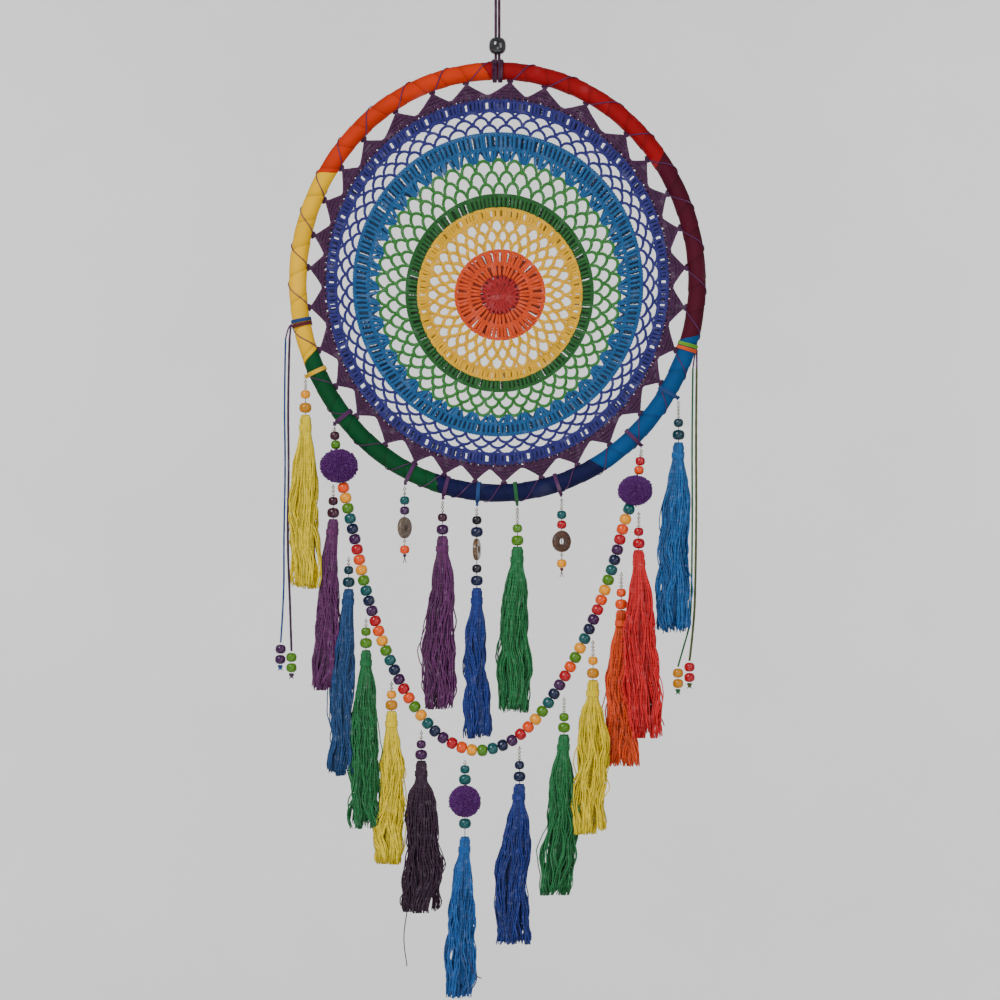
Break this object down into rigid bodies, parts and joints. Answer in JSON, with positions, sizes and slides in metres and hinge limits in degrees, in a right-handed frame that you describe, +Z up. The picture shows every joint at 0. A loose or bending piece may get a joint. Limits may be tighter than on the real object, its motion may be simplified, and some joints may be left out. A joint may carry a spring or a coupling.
{
  "type": "dream catcher",
  "caption": "Hanging dream catcher: ribbon-wrapped oval hoop with a rainbow crocheted web, bead garland, pompoms, tassel strands and shell charms.",
  "frame": {"origin": "top of the hanging cord's loop, where a hook or nail carries it", "axes": "+Z up, +X to the viewer's right, front towards -Y; the hoop hangs in the plane y = 0"},
  "size_m": [0.3248, 0.0328, 0.7913],
  "materials": {
    "suede_cord": "matt suede",
    "black_bead": "glossy",
    "steel_wire": "plain wire",
    "ribbon_red": "smooth stretch ribbon",
    "ribbon_orange": "smooth stretch ribbon",
    "ribbon_yellow": "smooth stretch ribbon",
    "ribbon_green": "smooth stretch ribbon",
    "ribbon_navy": "smooth stretch ribbon",
    "ribbon_blue": "smooth stretch ribbon",
    "ribbon_burgundy": "smooth stretch ribbon",
    "web_yarn": "crocheted cotton, in rings of colour",
    "purple_thread": "twisted thread",
    "painted_beads": "glossy paint in seven colours",
    "pompom_wool": "cut wool pile",
    "coconut_shell": "polished shell",
    "tassel_yellow": "viscose thread",
    "tassel_violet": "viscose thread",
    "tassel_blue": "viscose thread",
    "tassel_green": "viscose thread",
    "tassel_azure": "viscose thread",
    "tassel_plum": "viscose thread",
    "tassel_royal": "viscose thread",
    "tassel_orange": "viscose thread",
    "tassel_red": "viscose thread",
    "cord_purple": "thin twisted cords",
    "cord_olive": "thin twisted cords"
  },
  "bodies": {
    "hanger": {"hanging_cord": "suede_cord", "hanging_bead": "black_bead"},
    "hoop": {"hoop_core": "steel_wire", "ribbon_red": "ribbon_red", "ribbon_orange": "ribbon_orange", "ribbon_yellow": "ribbon_yellow", "ribbon_green": "ribbon_green", "ribbon_navy": "ribbon_navy", "ribbon_blue": "ribbon_blue", "ribbon_burgundy": "ribbon_burgundy", "crochet_web": "web_yarn", "lashing_thread": "purple_thread", "strand_ties": "purple_thread"},
    "garland": {"garland_cord": "purple_thread", "garland_beads": "painted_beads", "garland_pompoms": "pompom_wool"},
    "yellow_left_strand": {"yellow_left_beads": "painted_beads", "yellow_left_tassel": "tassel_yellow"},
    "violet_upper_strand": {"violet_upper_beads": "painted_beads", "violet_upper_tassel": "tassel_violet"},
    "blue_upper_strand": {"blue_upper_beads": "painted_beads", "blue_upper_tassel": "tassel_blue"},
    "green_upper_strand": {"green_upper_beads": "painted_beads", "green_upper_tassel": "tassel_green"},
    "azure_right_strand": {"azure_right_beads": "painted_beads", "azure_right_tassel": "tassel_azure"},
    "violet_low_strand": {"violet_low_beads": "painted_beads", "violet_low_tassel": "tassel_violet"},
    "blue_low_strand": {"blue_low_beads": "painted_beads", "blue_low_tassel": "tassel_blue"},
    "green_low_strand": {"green_low_beads": "painted_beads", "green_low_tassel": "tassel_green"},
    "yellow_low_strand": {"yellow_low_beads": "painted_beads", "yellow_low_tassel": "tassel_yellow"},
    "plum_low_strand": {"plum_low_beads": "painted_beads", "plum_low_tassel": "tassel_plum"},
    "azure_low_strand": {"azure_low_beads": "painted_beads", "azure_low_tassel": "tassel_azure", "azure_low_pompom": "pompom_wool"},
    "royal_low_strand": {"royal_low_beads": "painted_beads", "royal_low_tassel": "tassel_royal"},
    "green_right_strand": {"green_right_beads": "painted_beads", "green_right_tassel": "tassel_green"},
    "yellow_right_strand": {"yellow_right_beads": "painted_beads", "yellow_right_tassel": "tassel_yellow"},
    "orange_right_strand": {"orange_right_beads": "painted_beads", "orange_right_tassel": "tassel_orange"},
    "red_right_strand": {"red_right_beads": "painted_beads", "red_right_tassel": "tassel_red"},
    "blue_upper_ring": {"blue_upper_ring": "coconut_shell"},
    "left_charm": {"left_charm_beads": "painted_beads", "left_charm_thread": "purple_thread"},
    "left_charm_ring": {"left_charm_ring": "coconut_shell"},
    "right_charm": {"right_charm_beads": "painted_beads", "right_charm_thread": "purple_thread"},
    "right_charm_ring": {"right_charm_ring": "coconut_shell"},
    "left_cords": {"left_side_cord": "cord_purple", "left_cord_beads": "painted_beads"},
    "right_cords": {"right_side_cord": "cord_olive", "right_cord_beads": "painted_beads"}
  },
  "joints": [
    {"name": "hoop_swing", "type": "hinge", "parent": "hanger", "child": "hoop", "pos_m": [0, 0, -0.09825], "axis": [1, 0, 0], "range_deg": [-25, 25]},
    {"name": "garland_swing", "type": "hinge", "parent": "hoop", "child": "garland", "pos_m": [-0.12268, 0, -0.365], "axis": [0.9975, 0, -0.0705], "range_deg": [-25, 25]},
    {"name": "yellow_left_swing", "type": "hinge", "parent": "hoop", "child": "yellow_left_strand", "pos_m": [-0.14407, 0, -0.32947], "axis": [1, 0, 0], "range_deg": [-25, 25]},
    {"name": "violet_upper_swing", "type": "hinge", "parent": "hoop", "child": "violet_upper_strand", "pos_m": [-0.04124, 0, -0.4204], "axis": [1, 0, 0], "range_deg": [-25, 25]},
    {"name": "blue_upper_swing", "type": "hinge", "parent": "hoop", "child": "blue_upper_strand", "pos_m": [-0.0155, 0, -0.42527], "axis": [1, 0, 0], "range_deg": [-25, 25]},
    {"name": "green_upper_swing", "type": "hinge", "parent": "hoop", "child": "green_upper_strand", "pos_m": [0.01496, 0, -0.42532], "axis": [1, 0, 0], "range_deg": [-25, 25]},
    {"name": "azure_right_swing", "type": "hinge", "parent": "hoop", "child": "azure_right_strand", "pos_m": [0.13575, 0, -0.34565], "axis": [1, 0, 0], "range_deg": [-25, 25]},
    {"name": "violet_low_swing", "type": "hinge", "parent": "garland", "child": "violet_low_strand", "pos_m": [-0.1232, 0, -0.4084], "axis": [1, 0, 0], "range_deg": [-25, 25]},
    {"name": "blue_low_swing", "type": "hinge", "parent": "garland", "child": "blue_low_strand", "pos_m": [-0.1116, 0, -0.4628], "axis": [1, 0, 0], "range_deg": [-25, 25]},
    {"name": "green_low_swing", "type": "hinge", "parent": "garland", "child": "green_low_strand", "pos_m": [-0.0986, 0, -0.5085], "axis": [1, 0, 0], "range_deg": [-25, 25]},
    {"name": "yellow_low_swing", "type": "hinge", "parent": "garland", "child": "yellow_low_strand", "pos_m": [-0.0795, 0, -0.5558], "axis": [1, 0, 0], "range_deg": [-25, 25]},
    {"name": "plum_low_swing", "type": "hinge", "parent": "garland", "child": "plum_low_strand", "pos_m": [-0.0572, 0, -0.5925], "axis": [1, 0, 0], "range_deg": [-25, 25]},
    {"name": "azure_low_swing", "type": "hinge", "parent": "garland", "child": "azure_low_strand", "pos_m": [-0.0244, 0, -0.615], "axis": [1, 0, 0], "range_deg": [-25, 25]},
    {"name": "royal_low_swing", "type": "hinge", "parent": "garland", "child": "royal_low_strand", "pos_m": [0.0165, 0, -0.6045], "axis": [1, 0, 0], "range_deg": [-25, 25]},
    {"name": "green_right_swing", "type": "hinge", "parent": "garland", "child": "green_right_strand", "pos_m": [0.0499, 0, -0.5678], "axis": [1, 0, 0], "range_deg": [-25, 25]},
    {"name": "yellow_right_swing", "type": "hinge", "parent": "garland", "child": "yellow_right_strand", "pos_m": [0.0716, 0, -0.525], "axis": [1, 0, 0], "range_deg": [-25, 25]},
    {"name": "orange_right_swing", "type": "hinge", "parent": "garland", "child": "orange_right_strand", "pos_m": [0.0928, 0, -0.474], "axis": [1, 0, 0], "range_deg": [0, 25]},
    {"name": "red_right_swing", "type": "hinge", "parent": "garland", "child": "red_right_strand", "pos_m": [0.1059, 0, -0.4286], "axis": [1, 0, 0], "range_deg": [-25, 0]},
    {"name": "blue_ring_spin", "type": "hinge", "parent": "blue_upper_strand", "child": "blue_upper_ring", "pos_m": [-0.0155, 0, -0.45706], "axis": [0, 0, 1], "continuous": true},
    {"name": "left_charm_swing", "type": "hinge", "parent": "hoop", "child": "left_charm", "pos_m": [-0.06961, 0, -0.40934], "axis": [1, 0, 0], "range_deg": [-25, 25]},
    {"name": "left_charm_ring_spin", "type": "hinge", "parent": "left_charm", "child": "left_charm_ring", "pos_m": [-0.06961, 0, -0.44074], "axis": [0, 0, 1], "continuous": true},
    {"name": "right_charm_swing", "type": "hinge", "parent": "hoop", "child": "right_charm", "pos_m": [0.04815, 0, -0.41829], "axis": [1, 0, 0], "range_deg": [-25, 25]},
    {"name": "right_charm_ring_spin", "type": "hinge", "parent": "right_charm", "child": "right_charm_ring", "pos_m": [0.04815, 0, -0.4511], "axis": [0, 0, 1], "continuous": true},
    {"name": "left_cords_swing", "type": "hinge", "parent": "hoop", "child": "left_cords", "pos_m": [-0.1574, 0, -0.299], "axis": [1, 0, 0], "range_deg": [-25, 25]},
    {"name": "right_cords_swing", "type": "hinge", "parent": "hoop", "child": "right_cords", "pos_m": [0.148, 0, -0.3215], "axis": [1, 0, 0], "range_deg": [-25, 25]}
  ]
}
